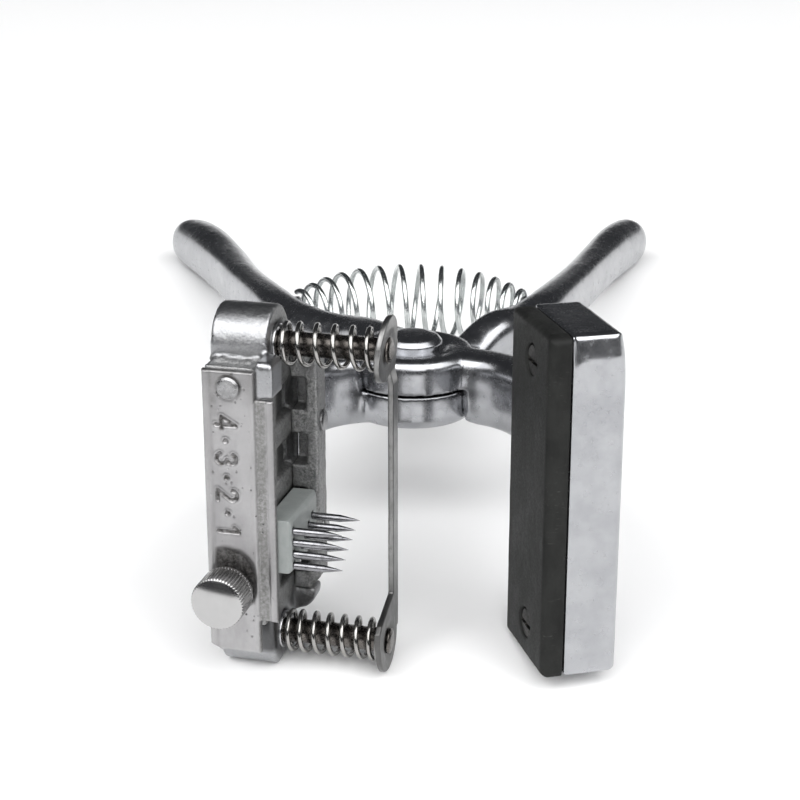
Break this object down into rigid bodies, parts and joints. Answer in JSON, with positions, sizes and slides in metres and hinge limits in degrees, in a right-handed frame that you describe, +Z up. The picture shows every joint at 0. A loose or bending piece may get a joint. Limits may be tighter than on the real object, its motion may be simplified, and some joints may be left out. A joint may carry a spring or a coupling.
{
  "type": "tattoo pliers",
  "caption": "Livestock ear tattoo pliers: two cast halves on a pivot, a digit holder with needles and a sprung ear release on one jaw, a rubber faced anvil on the other, and a return spring.",
  "frame": {"origin": "centre of the object's footprint, on the surface that it stands on (the bottoms of both jaws and the undersides of the handle ends)", "axes": "+Z up, +Y from the jaws to the handle ends, +X from the digit jaw to the anvil jaw; the pivot axis leans back by 8.46 degrees because the pliers stand on their jaws and handle ends"},
  "size_m": [0.1266, 0.201, 0.0639],
  "materials": {
    "polished_cast": "polished",
    "rough_cast": "sand cast",
    "rubber": "moulded, matte",
    "bright_steel": "bright",
    "spring_steel": "drawn wire",
    "zinc_spring": "zinc plated wire",
    "dark_steel": "turned",
    "grey_plastic": "moulded",
    "needle_steel": "ground"
  },
  "bodies": {
    "digit_half": {"digit_half_casting": "polished_cast", "front_plate": "rough_cast", "front_plate_rivet": "bright_steel", "back_plate": "rough_cast", "back_plate_rivets": "bright_steel", "pivot_rivet": "bright_steel", "pivot_washer": "bright_steel", "return_spring": "zinc_spring", "spring_seat_right": "dark_steel", "upper_plunger_bush": "dark_steel", "lower_plunger_bush": "dark_steel", "upper_release_spring": "spring_steel", "lower_release_spring": "spring_steel"},
    "anvil_half": {"anvil_half_casting": "polished_cast", "rubber_pad": "rubber", "pad_screws": "bright_steel", "spring_seat_left": "dark_steel"},
    "ear_release": {"release_plate": "bright_steel", "upper_plunger": "dark_steel", "lower_plunger": "dark_steel", "spring_cups": "bright_steel", "plunger_stop_rings": "bright_steel"},
    "thumb_screw": {"thumb_screw_head": "bright_steel", "thumb_screw_stud": "bright_steel"},
    "digit": {"digit_block": "grey_plastic", "digit_needles": "needle_steel"}
  },
  "joints": [
    {"name": "jaw_pivot", "type": "hinge", "parent": "digit_half", "child": "anvil_half", "pos_m": [0, -0.02783, 0.02631], "axis": [0, 0.1471, 0.9891], "range_deg": [-28.6, 0], "stiffness_Nm_per_rad": 1, "springref_deg": 8.59, "deforming": ["return_spring"]},
    {"name": "ear_release_slide", "type": "slide", "parent": "digit_half", "child": "ear_release", "axis": [-0.969, 0.2443, -0.0363], "range_m": [0, 0.0065], "deforming": ["upper_release_spring", "lower_release_spring"]},
    {"name": "digit_slide", "type": "slide", "parent": "digit_half", "child": "digit", "axis": [0, 0.1471, 0.9891], "range_m": [-0.0095, 0.0212]},
    {"name": "thumb_screw_turn", "type": "hinge", "parent": "digit_half", "child": "thumb_screw", "pos_m": [-0.03143, -0.09302, 0.01902], "axis": [-0.247, -0.9585, 0.1426], "continuous": true}
  ],
  "couplings": [
    {"joint": "ear_release_slide", "follows": "jaw_pivot", "m_per_rad": -0.01242}
  ]
}
